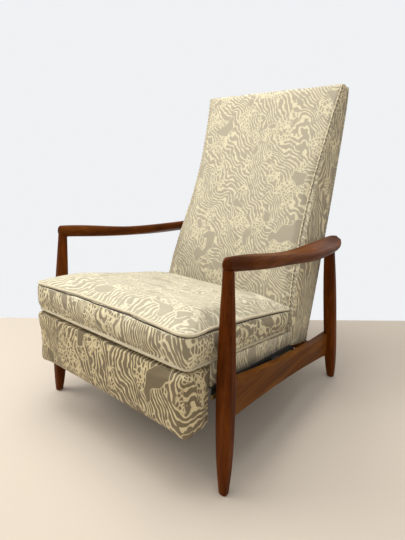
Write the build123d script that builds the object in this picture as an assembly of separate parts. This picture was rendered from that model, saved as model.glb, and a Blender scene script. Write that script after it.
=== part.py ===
"""Push-back reclining lounge chair.

Millimetres, +Z up, the chair faces -Y and stands on the floor at Z = 0.
The sitter's left is +X. Side pieces are built on the left and mirrored.
Lengths along Y are measured from the front feet, and the whole chair is
shifted at the end so that the origin lies under the middle of its box.
"""

import math
import os

from build123d import *

os.makedirs("parts", exist_ok=True)

# Small gaps and cuts that every sub-part shares
soft_gap = 0.4
running_clearance = 0.05
open_pivot_clearance = 0.3
glue_gap = 0.05
cut_overrun = 5.0
round_corner_share = 1 - math.sqrt(0.5)

# Wooden side frames: feet, tops and widths of the four legs
front_foot_spread = 338.0
rear_foot_spread = 340.0
leg_top_spread = 305.0
front_leg_rake = 35.0
front_leg_height = 522.0
rear_foot_inset = 17.0
rear_leg_rake = 49.0
rear_leg_drop = 56.0
front_leg_width = 39.5
rear_leg_width = 40.0
front_height_shares = (0.0, 0.17, 0.34, 0.54, 0.82, 1.0)
front_width_shares = (0.525, 0.87, 1.0, 0.99, 0.78, 0.585)
rear_height_shares = (0.0, 0.16, 0.4, 0.7, 0.88, 1.0)
rear_width_shares = (0.58, 0.9, 1.0, 0.99, 0.9, 0.8)
leg_corner_share = 0.36
glide_thickness = 3.0
glide_radius = 8.5

# Side rails between the legs, and the two cross rails
rail_outer_face = 325.0
rail_thickness = 22.0
rail_front_low = 169.0
rail_front_high = 269.0
rail_rear_low = 88.0
rail_rear_high = 173.0
rail_front_y = 54.0
rail_rear_inset = 16.0
rail_top_dip = 15.0
rail_bottom_arch = 13.0
middle_stretcher_y = 288.0
middle_stretcher_low = 148.0
middle_stretcher_height = 22.0
middle_stretcher_depth = 26.0
rear_stretcher_inset = 50.0
rear_stretcher_low = 90.0
rear_stretcher_height = 34.0
rear_stretcher_depth = 22.0
corner_block_leg = 36.0
corner_block_height = 20.0
dowel_radius = 5.0
dowel_length = 48.0
dowel_spacing = 42.0
arm_dowel_radius = 4.0
arm_dowel_length = 34.0

# Armrests: stations from front to rear, as shares of the sizes named here
arm_front_y = 31.0
arm_length = 666.0
arm_front_spread = 304.0
arm_bow = 13.0
arm_front_rise = 15.5
arm_drop = 41.5
arm_half_width = 33.5
arm_thickness = 30.0
arm_twist = 31.0
arm_dish = 3.0
arm_length_shares = (0.0, 0.06, 0.25, 0.5, 0.74, 0.89, 0.965, 1.0)
arm_bow_shares = (0.0, 0.15, 0.65, 0.9, 0.7, 0.3, 0.08, 0.0)
arm_drop_shares = (0.0, 0.08, 0.46, 0.84, 0.99, 0.98, 0.9, 0.81)
arm_width_shares = (0.36, 0.42, 0.63, 0.82, 0.94, 0.89, 0.7, 0.4)
arm_thickness_shares = (1.03, 1.05, 1.05, 0.98, 0.9, 0.8, 0.64, 0.44)
arm_twist_shares = (0.0, 0.04, 0.17, 0.42, 0.78, 1.0, 1.06, 1.06)
arm_dish_shares = (-0.6, -0.6, -0.4, 0.3, 0.8, 1.0, 0.7, 0.3)
arm_side_round_shares = (0.2, 0.22, 0.28, 0.36, 0.42, 0.42, 0.42, 0.42)
arm_belly_share = 0.07
arm_nose_length = 8.0
arm_nose_inset = 6.0
arm_nose_length_shares = (1.0, 0.7, 0.0)
arm_nose_inset_shares = (1.0, 0.38, 0.0)
front_leg_socket = 4.5

# Line under the seat frame that the plates, runners and slide follow
underside_front_height = 253.3
underside_slope = 6.6

# Line under the loose seat cushion
cushion_base_front_height = 314.0
cushion_base_slope = 8.96

# Seat frame, deck and cushion
seat_frame_front = 10.0
seat_frame_rear = 424.0
seat_side_outer = 280.0
seat_rail_thickness = 22.0
front_board_low = 279.5
front_board_depth = 48.0
deck_front = 6.0
deck_rear = 430.0
deck_pad_thickness = 14.0
deck_half_width = 280.0
webbing_thickness = 1.5
webbing_width = 50.0
webbing_gap = 0.1
deck_band_thickness = 3.6
dust_cover_front = 104.0
dust_cover_thickness = 1.0
cross_strap_shares = (0.08, 0.29, 0.5, 0.71, 0.92)
long_strap_shares = (-0.72, -0.36, 0.0, 0.36, 0.72)
seat_screw_shares = (0.16, 0.42, 0.68, 0.94)
seat_screw_radius = 2.5
seat_screw_length = 18.0
cushion_front = -80.5
cushion_half_width_front = 290.0
cushion_half_width_rear = 280.0
cushion_rear_low = 422.0
cushion_front_thickness = 79.0
cushion_rear_thickness = 71.0
cushion_rear_lean = 22.0
cushion_edge_inset = 8.0
cushion_low_corner = 16.0
cushion_top_corner = 30.0
cushion_corner_growth = 0.6
cushion_low_bow = 2.0
cushion_top_draw = 8.0
cushion_band_levels = (0.0, 0.12, 0.5, 0.88, 1.0)
cushion_band_insets = (0.8, 0.2, -0.1, 0.0, 0.2)
cushion_crown_levels = (1.0, 1.17, 1.3)
cushion_crown_insets = (0.2, 4.5, 12.0)

# Steel on the seat: angle plates, runners and studs
plate_inner_face = 286.0
plate_thickness = 3.0
plate_front = 12.0
plate_nose_depth = 20.0
plate_depth = 30.0
plate_bend_back = 50.0
plate_eye_share = 0.7
flange_inner = 262.0
flange_rear = 420.0
runner_thickness = 5.0
runner_front = 9.0
runner_rear = 428.0
runner_top = 17.0
runner_height = 9.0

# Steel and nylon on the side rails that carry the runners
track_plate_thickness = 3.0
track_spacer_thickness = 3.0
track_spacer_radius = 9.0
track_front = 92.0
track_rear = 346.0
track_top = 7.0
track_bottom = 38.0
track_bolt_depth = 22.0
track_bolt_shares = (0.3, 0.5, 0.7)
track_bolt_bite_share = 0.7
track_bolt_radius = 3.0
bolt_head_radius = 6.0
bolt_head_height = 2.5
guide_block_length = 40.0
guide_block_height = 9.0
guide_clearance = 0.3
guide_station_shares = (0.13, 0.86)
guide_side_gap = 0.8

# Footrest: panel, brackets and the parallel links that carry it
panel_front = -79.0
panel_rear = 3.0
panel_bottom = 159.0
panel_top = 321.0
panel_top_fall = 11.0
panel_half_width = 291.0
panel_board_thickness = 12.0
panel_board_inset = 2.0
panel_corner_radius = 11.0
panel_crown = 5.0
panel_draw_in = 2.0
panel_depth_shares = (0.0, 0.25, 0.72, 0.9, 1.0)
panel_inset_shares = (0.2, 0.0, 0.0, 0.3, 1.5)
panel_pivot_back = 17.0
panel_pivot_height = 266.0
link_pivot_y = 110.0
link_pivot_z = 225.0
link_length = 80.0
link_rest_angle = -28.0
link_pitch = 72.0
link_pitch_fall = 12.0
link_thickness = 4.0
link_eye_radius = 10.0
link_gap = 3.0
link_outer_face = 254.0
pivot_radius = 5.0
pivot_head_radius = 8.0
pivot_head_height = 2.0
bracket_flange_width = 26.0
bracket_flange_low = 205.0
bracket_flange_high = 276.0
bracket_thickness = 4.0

# Back: stations from the bottom up, as shares of the sizes named here
back_bottom_y = 424.0
back_bottom_height = 185.0
back_top_height = 1000.0
back_setback = 291.0
back_end_slope = 12.8
back_half_width = 273.0
back_depth = 176.0
back_pad_depth = 48.0
back_crown = 15.0
back_height_shares = (0.0, 0.143, 0.288, 0.411, 0.595, 0.841, 0.961, 1.0)
back_setback_shares = (0.0, 0.09, 0.213, 0.357, 0.583, 0.852, 0.966, 1.0)
back_width_shares = (1.0, 0.996, 0.972, 0.95, 0.924, 0.94, 0.967, 0.981)
back_depth_shares = (1.0, 0.994, 0.949, 0.835, 0.642, 0.409, 0.29, 0.225)
back_pad_shares = (1.0, 1.0, 1.0, 0.96, 0.86, 0.66, 0.5, 0.42)
back_crown_shares = (0.1, 0.3, 0.8, 1.0, 0.9, 0.7, 0.5, 0.25)
back_corner_round = 9.0
back_corner_pad_share = 0.33
back_rear_half_width = 268.0
back_top_cap_height = 14.0
back_bottom_thickness = 16.0
back_panel_thickness = 6.0
back_board_outer = 240.0
back_board_thickness = 20.0
back_rail_height = 40.0
back_rail_depth = 20.0
back_middle_rail_place = 0.46
back_top_rail_clearance = 10.0
back_strap_places = (0.1, 0.19, 0.28, 0.37, 0.52, 0.63, 0.74, 0.85)

# Back hinge: an eye of the seat plate, a pin and a bracket inside the back
hinge_y = 458.0
hinge_z = 160.0
hinge_pin_radius = 7.0
hinge_head_radius = 11.0
hinge_head_height = 2.0
hinge_eye_radius = 13.0
hinge_bracket_thickness = 4.0
hinge_bracket_width = 34.0
hinge_bracket_reach = (69.0, 64.0)
hinge_bracket_knee = (18.0, 12.0)
hinge_bracket_height = 84.0
hinge_bolt_radius = 3.0
hinge_bolt_shares = (0.25, 0.8)

nodes = {}


def slope_point(front_height, slope, along, above):
    """Y and Z of a place on a line that falls towards the rear."""
    angle = math.radians(slope)
    y = along * math.cos(angle) + above * math.sin(angle)
    z = front_height - along * math.sin(angle) + above * math.cos(angle)
    return y, z


def under(along, above):
    return slope_point(underside_front_height, underside_slope, along, above)


def cushion_base(y):
    return cushion_base_front_height - y * math.tan(math.radians(cushion_base_slope))


def underside(y):
    return underside_front_height - y * math.tan(math.radians(underside_slope))


def side_slab(points, x_low, x_high):
    """Outline in the side view, given as (y, z) points, extruded along X."""
    outline = Polygon(*points, align=None)
    return extrude(Plane.YZ.offset(x_low) * outline, amount=x_high - x_low, dir=(1, 0, 0))


def x_rod(y, z, x_low, x_high, radius):
    outline = Plane.YZ.offset(x_low) * Pos(y, z) * Circle(radius)
    return extrude(outline, amount=x_high - x_low, dir=(1, 0, 0))


def box_between(low, high):
    centre = [(a + b) / 2 for a, b in zip(low, high)]
    return Pos(*centre) * Box(*[b - a for a, b in zip(low, high)])


def mirrored(solid):
    return mirror(solid, about=Plane.YZ)


def both_sides(solid):
    return [solid, mirrored(solid)]


def add_pair(name, solid):
    nodes["left_" + name] = [solid]
    nodes["right_" + name] = [mirrored(solid)]


def leg_centre(foot, top, height, z):
    share = z / height
    return foot[0] + (top[0] - foot[0]) * share, foot[1] + (top[1] - foot[1]) * share


def leg_blank(foot, top, height, width, height_shares, width_shares, extra):
    """Turned and shaped leg, its top left long so that the arm can trim it."""
    sections = []
    for height_share, width_share in zip(height_shares, width_shares):
        z = max(height_share * height, glide_thickness)
        side = width * width_share
        x, y = leg_centre(foot, top, height, z)
        section = RectangleRounded(side, side, side * leg_corner_share)
        sections.append(Plane.XY.offset(z) * Pos(x, y) * section)
    leg = loft(sections)
    side = width * width_shares[-1]
    x, y = leg_centre(foot, top, height, height)
    cap = RectangleRounded(side, side, side * leg_corner_share)
    return leg + extrude(Plane.XY.offset(height) * Pos(x, y) * cap, amount=extra, dir=(0, 0, 1))


def arm_section(index, inset=0, forward=0):
    """One cross-section of the armrest: four arcs, twisted outwards."""
    half_width = arm_half_width * arm_width_shares[index] - inset
    half_height = arm_thickness * arm_thickness_shares[index] / 2 - inset
    round_off = 2 * half_height * arm_side_round_shares[index]
    flat = half_width - round_off
    dish = arm_dish * arm_dish_shares[index]
    belly = 2 * half_height * arm_belly_share
    twist = math.radians(arm_twist * arm_twist_shares[index])
    origin = (
        arm_front_spread + arm_bow * arm_bow_shares[index],
        arm_front_y + arm_length * arm_length_shares[index] - forward,
        arm_front_centre - arm_drop * arm_drop_shares[index],
    )
    plane = Plane(origin=origin, x_dir=(math.cos(twist), 0, -math.sin(twist)), z_dir=(0, -1, 0))
    edges = [
        ThreePointArc((-flat, half_height), (0, half_height - dish), (flat, half_height)),
        ThreePointArc((flat, half_height), (half_width, 0), (flat, -half_height)),
        ThreePointArc((flat, -half_height), (0, -half_height - belly), (-flat, -half_height)),
        ThreePointArc((-flat, -half_height), (-half_width, 0), (-flat, half_height)),
    ]
    return plane * make_face(Curve() + edges)


# Armrests, legs and side rails
rear_foot_back = arm_front_y + arm_length - rear_foot_inset
rear_leg_height = front_leg_height - rear_leg_drop
arm_front_centre = front_leg_height + arm_front_rise
left_arm = loft([arm_section(index) for index in range(len(arm_length_shares))])
arm_nose = []
for length_share, inset_share in zip(arm_nose_length_shares, arm_nose_inset_shares):
    arm_nose.append(arm_section(0, inset_share * arm_nose_inset, length_share * arm_nose_length))
left_arm = left_arm + loft(arm_nose)

front_foot = (front_foot_spread, 0)
front_top = (leg_top_spread, front_leg_rake)
rear_foot = (rear_foot_spread, rear_foot_back)
rear_top = (leg_top_spread, rear_foot_back - rear_leg_rake)
front_leg = leg_blank(front_foot, front_top, front_leg_height, front_leg_width,
                      front_height_shares, front_width_shares, front_leg_socket) - left_arm
rear_leg = leg_blank(rear_foot, rear_top, rear_leg_height, rear_leg_width,
                     rear_height_shares, rear_width_shares, arm_thickness) - left_arm
front_leg = front_leg.solids().sort_by(SortBy.VOLUME)[-1]
rear_leg = rear_leg.solids().sort_by(SortBy.VOLUME)[-1]

rail_inner_face = rail_outer_face - rail_thickness
rail_rear_y = rear_foot_back - rail_rear_inset
rear_stretcher_y = rear_foot_back - rear_stretcher_inset
rail_mid_y = (rail_front_y + rail_rear_y) / 2
rail_mid_top = (rail_front_high + rail_rear_high) / 2 - rail_top_dip
rail_mid_low = (rail_front_low + rail_rear_low) / 2 + rail_bottom_arch


def rail_end(y, front_value, rear_value):
    share = (y - rail_front_y) / (rail_rear_y - rail_front_y)
    return y, front_value + (rear_value - front_value) * share


# The rail runs to the middle of each leg before the legs trim it
rail_start_y = front_leg_rake * rail_front_low / front_leg_height
rail_stop_y = rear_foot_back - rear_leg_rake * rail_rear_high / rear_leg_height
rail_a = rail_end(rail_start_y, rail_front_high, rail_rear_high)
rail_b = rail_end(rail_stop_y, rail_front_high, rail_rear_high)
rail_c = rail_end(rail_stop_y, rail_front_low, rail_rear_low)
rail_d = rail_end(rail_start_y, rail_front_low, rail_rear_low)
rail_outline = Curve() + [
    ThreePointArc(rail_a, (rail_mid_y, rail_mid_top), rail_b),
    Line(rail_b, rail_c),
    ThreePointArc(rail_c, (rail_mid_y, rail_mid_low), rail_d),
    Line(rail_d, rail_a),
]
rail_face = Plane.YZ.offset(rail_inner_face) * make_face(rail_outline)
side_rail = extrude(rail_face, amount=rail_thickness, dir=(1, 0, 0))
side_rail = side_rail - front_leg - rear_leg
side_rail = side_rail.solids().sort_by(SortBy.VOLUME)[-1]

# Dowels between rail and legs, and between legs and arm
rail_dowels = []
dowel_x = (rail_inner_face + rail_outer_face) / 2
front_dowel_y = rail_start_y + front_leg_width / 2
rear_dowel_y = rail_stop_y - rear_leg_width / 2
for dowel_y, low, high in ((front_dowel_y, rail_front_low, rail_front_high),
                           (rear_dowel_y, rail_rear_low, rail_rear_high)):
    for side in (-1, 1):
        dowel_z = (low + high) / 2 + side * dowel_spacing / 2
        place = Pos(dowel_x, dowel_y, dowel_z) * Rot(90, 0, 0)
        dowel = place * Cylinder(dowel_radius, dowel_length)
        hole = place * Cylinder(dowel_radius + glue_gap, dowel_length + 2 * glue_gap)
        rail_dowels.append(dowel)
        side_rail = side_rail - hole
        front_leg = front_leg - hole
        rear_leg = rear_leg - hole

arm_dowels = []
for top, height in ((front_top, front_leg_height), (rear_top, rear_leg_height)):
    place = Pos(top[0], top[1], height)
    arm_dowels.append(place * Cylinder(arm_dowel_radius, arm_dowel_length))
    hole = place * Cylinder(arm_dowel_radius + glue_gap, arm_dowel_length + 2 * glue_gap)
    left_arm = left_arm - hole
    front_leg = front_leg - hole
    rear_leg = rear_leg - hole

glides = []
for foot in (front_foot, rear_foot):
    place = Pos(foot[0], foot[1], glide_thickness / 2)
    glides.append(place * Cylinder(glide_radius, glide_thickness))

# Cross rails between the side rails, with glued corner blocks
middle_stretcher_rear = middle_stretcher_y + middle_stretcher_depth
middle_stretcher = box_between(
    (-rail_inner_face, middle_stretcher_y, middle_stretcher_low),
    (rail_inner_face, middle_stretcher_rear, middle_stretcher_low + middle_stretcher_height))
rear_stretcher_rear = rear_stretcher_y + rear_stretcher_depth
rear_stretcher = box_between(
    (-rail_inner_face, rear_stretcher_y, rear_stretcher_low),
    (rail_inner_face, rear_stretcher_rear, rear_stretcher_low + rear_stretcher_height))


def corner_block(y, low, direction):
    corner = (rail_inner_face, y)
    along_rail = (rail_inner_face, y + direction * corner_block_leg)
    along_cross = (rail_inner_face - corner_block_leg, y)
    outline = Polygon(corner, along_rail, along_cross, align=None)
    return extrude(Plane.XY.offset(low) * outline, amount=corner_block_height, dir=(0, 0, 1))


corner_blocks = both_sides(corner_block(middle_stretcher_rear, middle_stretcher_low, 1))
corner_blocks += both_sides(corner_block(rear_stretcher_y, rear_stretcher_low, -1))

# Track plates on the side rails, their spacers, bolts and nylon guide blocks
track_outer = rail_inner_face - track_spacer_thickness
track_inner = track_outer - track_plate_thickness
track_span = track_rear - track_front
track_plate = side_slab(
    [under(track_front, -track_top), under(track_rear, -track_top),
     under(track_rear, -track_bottom), under(track_front, -track_bottom)],
    track_inner, track_outer)
track_spacers = []
track_bolts = []
for share in track_bolt_shares:
    bolt_y, bolt_z = under(track_front + share * track_span, -track_bolt_depth)
    spacer = x_rod(bolt_y, bolt_z, track_outer, rail_inner_face, track_spacer_radius)
    bolt_tip = rail_inner_face + rail_thickness * track_bolt_bite_share
    bolt = x_rod(bolt_y, bolt_z, track_inner, bolt_tip, track_bolt_radius)
    bolt = bolt + x_rod(bolt_y, bolt_z, track_inner - bolt_head_height, track_inner, bolt_head_radius)
    hole = x_rod(bolt_y, bolt_z, track_inner - cut_overrun, bolt_tip, track_bolt_radius + glue_gap)
    track_plate = track_plate - hole
    side_rail = side_rail - hole
    track_spacers.append(spacer - hole)
    track_bolts.append(bolt)

block_inner = plate_inner_face + plate_thickness + guide_side_gap
guide_blocks = []
for share in guide_station_shares:
    centre = track_front + share * track_span
    start = centre - guide_block_length / 2
    stop = centre + guide_block_length / 2
    for low in (runner_top - guide_clearance - guide_block_height,
                runner_top + runner_height + guide_clearance):
        high = low + guide_block_height
        outline = [under(start, -low), under(stop, -low), under(stop, -high), under(start, -high)]
        guide_blocks.append(side_slab(outline, block_inner, track_inner))

add_pair("armrest", left_arm)
add_pair("front_leg", front_leg)
add_pair("rear_leg", rear_leg)
add_pair("side_rail", side_rail)
add_pair("track_plate", track_plate)
nodes["middle_stretcher"] = [middle_stretcher]
nodes["rear_stretcher"] = [rear_stretcher]
nodes["corner_blocks"] = corner_blocks
nodes["rail_dowels"] = [piece for dowel in rail_dowels for piece in both_sides(dowel)]
nodes["arm_dowels"] = [piece for dowel in arm_dowels for piece in both_sides(dowel)]
nodes["leg_glides"] = [piece for glide in glides for piece in both_sides(glide)]
nodes["track_spacers"] = [piece for spacer in track_spacers for piece in both_sides(spacer)]
nodes["track_bolts"] = [piece for bolt in track_bolts for piece in both_sides(bolt)]
nodes["guide_blocks"] = [piece for block in guide_blocks for piece in both_sides(block)]

# Seat frame: a wedge of four rails, lower at the rear
deck_drop = soft_gap + deck_pad_thickness
strap_drop = deck_drop + webbing_gap + 2 * (webbing_thickness + webbing_gap)


def deck_line(y, drop):
    return y, cushion_base(y) - drop


seat_side_inner = seat_side_outer - seat_rail_thickness
seat_side = side_slab(
    [(seat_frame_front, underside(seat_frame_front)), (seat_frame_rear, underside(seat_frame_rear)),
     deck_line(seat_frame_rear, strap_drop), deck_line(seat_frame_front, strap_drop)],
    seat_side_inner, seat_side_outer)
front_board_rear = seat_frame_front + front_board_depth
seat_front = side_slab(
    [(seat_frame_front, front_board_low), (front_board_rear, front_board_low),
     deck_line(front_board_rear, strap_drop), deck_line(seat_frame_front, strap_drop)],
    -seat_side_inner, seat_side_inner)
rear_rail_front = seat_frame_rear - seat_rail_thickness
seat_rear = side_slab(
    [(rear_rail_front, underside(rear_rail_front)), (seat_frame_rear, underside(seat_frame_rear)),
     deck_line(seat_frame_rear, strap_drop), deck_line(rear_rail_front, strap_drop)],
    -seat_side_inner, seat_side_inner)

# Webbing: cross straps on the side rails, long straps over them
webbing = []
frame_length = seat_frame_rear - seat_frame_front
cross_drop = strap_drop - webbing_gap
long_drop = cross_drop - webbing_thickness - webbing_gap
for share in cross_strap_shares:
    strap_y = seat_frame_front + share * frame_length
    start = strap_y - webbing_width / 2
    stop = strap_y + webbing_width / 2
    webbing.append(side_slab(
        [deck_line(start, cross_drop), deck_line(stop, cross_drop),
         deck_line(stop, cross_drop - webbing_thickness),
         deck_line(start, cross_drop - webbing_thickness)],
        -seat_side_outer, seat_side_outer))
for share in long_strap_shares:
    strap_x = share * seat_side_inner
    webbing.append(side_slab(
        [deck_line(seat_frame_front, long_drop), deck_line(seat_frame_rear, long_drop),
         deck_line(seat_frame_rear, long_drop - webbing_thickness),
         deck_line(seat_frame_front, long_drop - webbing_thickness)],
        strap_x - webbing_width / 2, strap_x + webbing_width / 2))

deck_pad = side_slab(
    [deck_line(deck_front, soft_gap), deck_line(deck_rear, soft_gap),
     deck_line(deck_rear, deck_drop), deck_line(deck_front, deck_drop)],
    -deck_half_width, deck_half_width)
band_inner = seat_side_outer + soft_gap
deck_band = side_slab(
    [(seat_frame_front, underside(seat_frame_front)), (seat_frame_rear, underside(seat_frame_rear)),
     deck_line(seat_frame_rear, soft_gap), deck_line(seat_frame_front, soft_gap)],
    band_inner, band_inner + deck_band_thickness)
dust_cover = side_slab(
    [under(dust_cover_front, -soft_gap), under(seat_frame_rear, -soft_gap),
     under(seat_frame_rear, -soft_gap - dust_cover_thickness),
     under(dust_cover_front, -soft_gap - dust_cover_thickness)],
    -flange_inner + soft_gap, flange_inner - soft_gap)


def cushion_outline(plane, front, rear, inset, corner, draw):
    """Plan of the cushion: four bowed sides between four round corners."""
    f = front + inset
    r = rear - inset
    a = cushion_half_width_front - inset
    b = cushion_half_width_rear - inset
    c = corner
    d = draw
    k = c * round_corner_share
    mid = (f + r) / 2
    side = (a + b) / 2
    edges = [
        ThreePointArc((-a + c, f), (0, f + d), (a - c, f)),
        ThreePointArc((a - c, f), (a - k, f + k), (a, f + c)),
        ThreePointArc((a, f + c), (side - d, mid), (b, r - c)),
        ThreePointArc((b, r - c), (b - k, r - k), (b - c, r)),
        ThreePointArc((b - c, r), (0, r - d), (-b + c, r)),
        ThreePointArc((-b + c, r), (-b + k, r - k), (-b, r - c)),
        ThreePointArc((-b, r - c), (-side + d, mid), (-a, f + c)),
        ThreePointArc((-a, f + c), (-a + k, f + k), (-a + c, f)),
    ]
    return plane * make_face(Curve() + edges)


def cushion_plane(level):
    """Plane through the cushion, level 0 under it and 1 along its top seam."""
    front_z = cushion_base(0) + level * cushion_front_thickness
    rear_z = cushion_base(cushion_rear_low) + level * cushion_rear_thickness
    slope = math.atan2(rear_z - front_z, cushion_rear_low)
    normal = (0, -math.sin(slope), math.cos(slope))
    return Plane(origin=(0, 0, front_z), x_dir=(1, 0, 0), z_dir=normal)


def cushion_section(level, inset_share):
    seam_level = min(level, 1)
    inset = inset_share * cushion_edge_inset
    corner = cushion_low_corner + seam_level * (cushion_top_corner - cushion_low_corner)
    corner = corner + cushion_corner_growth * max(inset, 0)
    draw = seam_level * (cushion_top_draw + cushion_low_bow) - cushion_low_bow
    rear = cushion_rear_low + seam_level * cushion_rear_lean
    length_scale = 1 / math.cos(math.radians(cushion_base_slope))
    return cushion_outline(
        cushion_plane(level), cushion_front * length_scale, rear * length_scale, inset, corner, draw)


cushion_band = loft([cushion_section(*pair) for pair in zip(cushion_band_levels, cushion_band_insets)])
cushion_top = loft([cushion_section(*pair) for pair in zip(cushion_crown_levels, cushion_crown_insets)])
seat_cushion = cushion_band + cushion_top

nodes["seat_front_rail"] = [seat_front]
nodes["seat_rear_rail"] = [seat_rear]
nodes["seat_webbing"] = webbing
nodes["seat_deck"] = [deck_pad]
nodes["dust_cover"] = [dust_cover]
nodes["seat_cushion"] = [seat_cushion]
add_pair("deck_band", deck_band)

# Steel angle plates under the seat frame, with the slide runners
plate_outer_face = plate_inner_face + plate_thickness
link_pivot_along = link_pivot_y / math.cos(math.radians(underside_slope))
eye_reach = hinge_eye_radius * plate_eye_share
plate_wall = side_slab(
    [under(plate_front, -soft_gap), under(flange_rear, -soft_gap),
     (hinge_y + eye_reach, hinge_z + eye_reach), (hinge_y - eye_reach, hinge_z - eye_reach),
     under(flange_rear - plate_bend_back, -plate_depth),
     under(link_pivot_along - plate_depth, -plate_depth), under(plate_front, -plate_nose_depth)],
    plate_inner_face, plate_outer_face)
plate_wall = plate_wall + x_rod(hinge_y, hinge_z, plate_inner_face, plate_outer_face, hinge_eye_radius)
plate_flange = side_slab(
    [under(plate_front, -soft_gap), under(flange_rear, -soft_gap),
     under(flange_rear, -soft_gap - plate_thickness), under(plate_front, -soft_gap - plate_thickness)],
    flange_inner, plate_inner_face)
seat_plate = plate_wall + plate_flange
runner = side_slab(
    [under(runner_front, -runner_top), under(runner_rear, -runner_top),
     under(runner_rear, -runner_top - runner_height), under(runner_front, -runner_top - runner_height)],
    plate_outer_face, plate_outer_face + runner_thickness)

seat_screws = []
screw_x = (flange_inner + seat_side_outer) / 2
for share in seat_screw_shares:
    along = share * flange_rear
    screw_y, screw_z = under(along, -soft_gap - plate_thickness)
    tilt = Rot(-underside_slope, 0, 0)
    shank = Pos(screw_x, screw_y, screw_z) * tilt * Pos(0, 0, seat_screw_length / 2)
    head = Pos(screw_x, screw_y, screw_z) * tilt * Pos(0, 0, -bolt_head_height / 2)
    screw = shank * Cylinder(seat_screw_radius, seat_screw_length)
    screw = screw + head * Cylinder(2 * seat_screw_radius, bolt_head_height)
    hole = shank * Cylinder(seat_screw_radius + glue_gap, seat_screw_length + 2 * glue_gap)
    seat_plate = seat_plate - hole
    seat_side = seat_side - hole
    seat_screws += both_sides(screw)

add_pair("seat_rail", seat_side)
nodes["seat_screws"] = seat_screws

# Footrest pivots: two on the seat plate, their link ends, and the panel's
rest = math.radians(link_rest_angle)
link_run = (link_length * math.cos(rest), link_length * math.sin(rest))
front_pivot = (link_pivot_y, link_pivot_z)
rear_pivot = (link_pivot_y + link_pitch, link_pivot_z - link_pitch_fall)
front_end = (front_pivot[0] + link_run[0], front_pivot[1] + link_run[1])
rear_end = (rear_pivot[0] + link_run[0], rear_pivot[1] + link_run[1])
panel_pivot = (panel_rear + panel_pivot_back, panel_pivot_height)

link_inner_face = link_outer_face - link_thickness
bar_outer_face = link_inner_face - link_gap
bar_inner_face = bar_outer_face - link_thickness
bracket_outer_face = bar_inner_face - link_gap
bracket_inner_face = bracket_outer_face - bracket_thickness


def bar_between(start, stop, radius, x_low, x_high):
    """Flat bar with round ends between two places in the side view."""
    run = (stop[0] - start[0], stop[1] - start[1])
    length = math.hypot(*run)
    across = (-run[1] / length * radius, run[0] / length * radius)
    body = side_slab(
        [(start[0] + across[0], start[1] + across[1]), (stop[0] + across[0], stop[1] + across[1]),
         (stop[0] - across[0], stop[1] - across[1]), (start[0] - across[0], start[1] - across[1])],
        x_low, x_high)
    body = body + x_rod(start[0], start[1], x_low, x_high, radius)
    return body + x_rod(stop[0], stop[1], x_low, x_high, radius)


def pivot_hole(place, x_low, x_high, clearance):
    radius = pivot_radius + clearance
    return x_rod(place[0], place[1], x_low - cut_overrun, x_high + cut_overrun, radius)


def swing_link(top, bottom):
    link = bar_between(top, bottom, link_eye_radius, link_inner_face, link_outer_face)
    link = link - pivot_hole(top, link_inner_face, link_outer_face, running_clearance)
    return link - pivot_hole(bottom, link_inner_face, link_outer_face, glue_gap)


def link_pin(place):
    """Rivet fixed in a swing link, turning in the footrest arm."""
    shank = x_rod(place[0], place[1], bar_inner_face - glue_gap, link_outer_face, pivot_radius)
    head = x_rod(place[0], place[1], bar_inner_face - glue_gap - pivot_head_height,
                 bar_inner_face - glue_gap, pivot_head_radius)
    return shank + head


footrest_arm = bar_between(panel_pivot, front_end, link_eye_radius, bar_inner_face, bar_outer_face)
footrest_arm = footrest_arm + bar_between(front_end, rear_end, link_eye_radius,
                                          bar_inner_face, bar_outer_face)
footrest_arm = footrest_arm - pivot_hole(panel_pivot, bar_inner_face, bar_outer_face, running_clearance)
footrest_arm = footrest_arm - pivot_hole(front_end, bar_inner_face, bar_outer_face, running_clearance)
footrest_arm = footrest_arm - pivot_hole(rear_end, bar_inner_face, bar_outer_face, open_pivot_clearance)

link_studs = []
for place in (front_pivot, rear_pivot):
    stud = x_rod(place[0], place[1], link_inner_face - glue_gap, plate_inner_face, pivot_radius)
    link_studs += both_sides(stud)

bracket_outer = back_board_outer - back_board_thickness - glue_gap
bracket_inner = bracket_outer - hinge_bracket_thickness
hinge_pin = x_rod(hinge_y, hinge_z, bracket_inner - glue_gap, plate_inner_face, hinge_pin_radius)
hinge_pin = hinge_pin + x_rod(hinge_y, hinge_z, bracket_inner - glue_gap - hinge_head_height,
                              bracket_inner - glue_gap, hinge_head_radius)

add_pair("seat_plate", seat_plate)
nodes["slide_runners"] = both_sides(runner)
nodes["link_studs"] = link_studs
nodes["hinge_pins"] = both_sides(hinge_pin)
add_pair("front_link", swing_link(front_pivot, front_end))
add_pair("rear_link", swing_link(rear_pivot, rear_end))
nodes["front_link_pins"] = both_sides(link_pin(front_end))
nodes["rear_link_pins"] = both_sides(link_pin(rear_end))
add_pair("footrest_arm", footrest_arm)

# Footrest panel: plywood board, crowned pad in front, steel brackets behind
board_front = panel_rear - panel_board_thickness
board_low = panel_bottom + panel_board_inset
board_high = panel_top - panel_top_fall - panel_board_inset
board_outline = RectangleRounded(2 * (panel_half_width - panel_board_inset), board_high - board_low,
                                 panel_corner_radius)
board_centre = (0, board_front, (board_low + board_high) / 2)
board_plane = Plane(origin=board_centre, x_dir=(1, 0, 0), z_dir=(0, -1, 0))
footrest_board = extrude(board_plane * board_outline, amount=panel_board_thickness, dir=(0, 1, 0))


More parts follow.
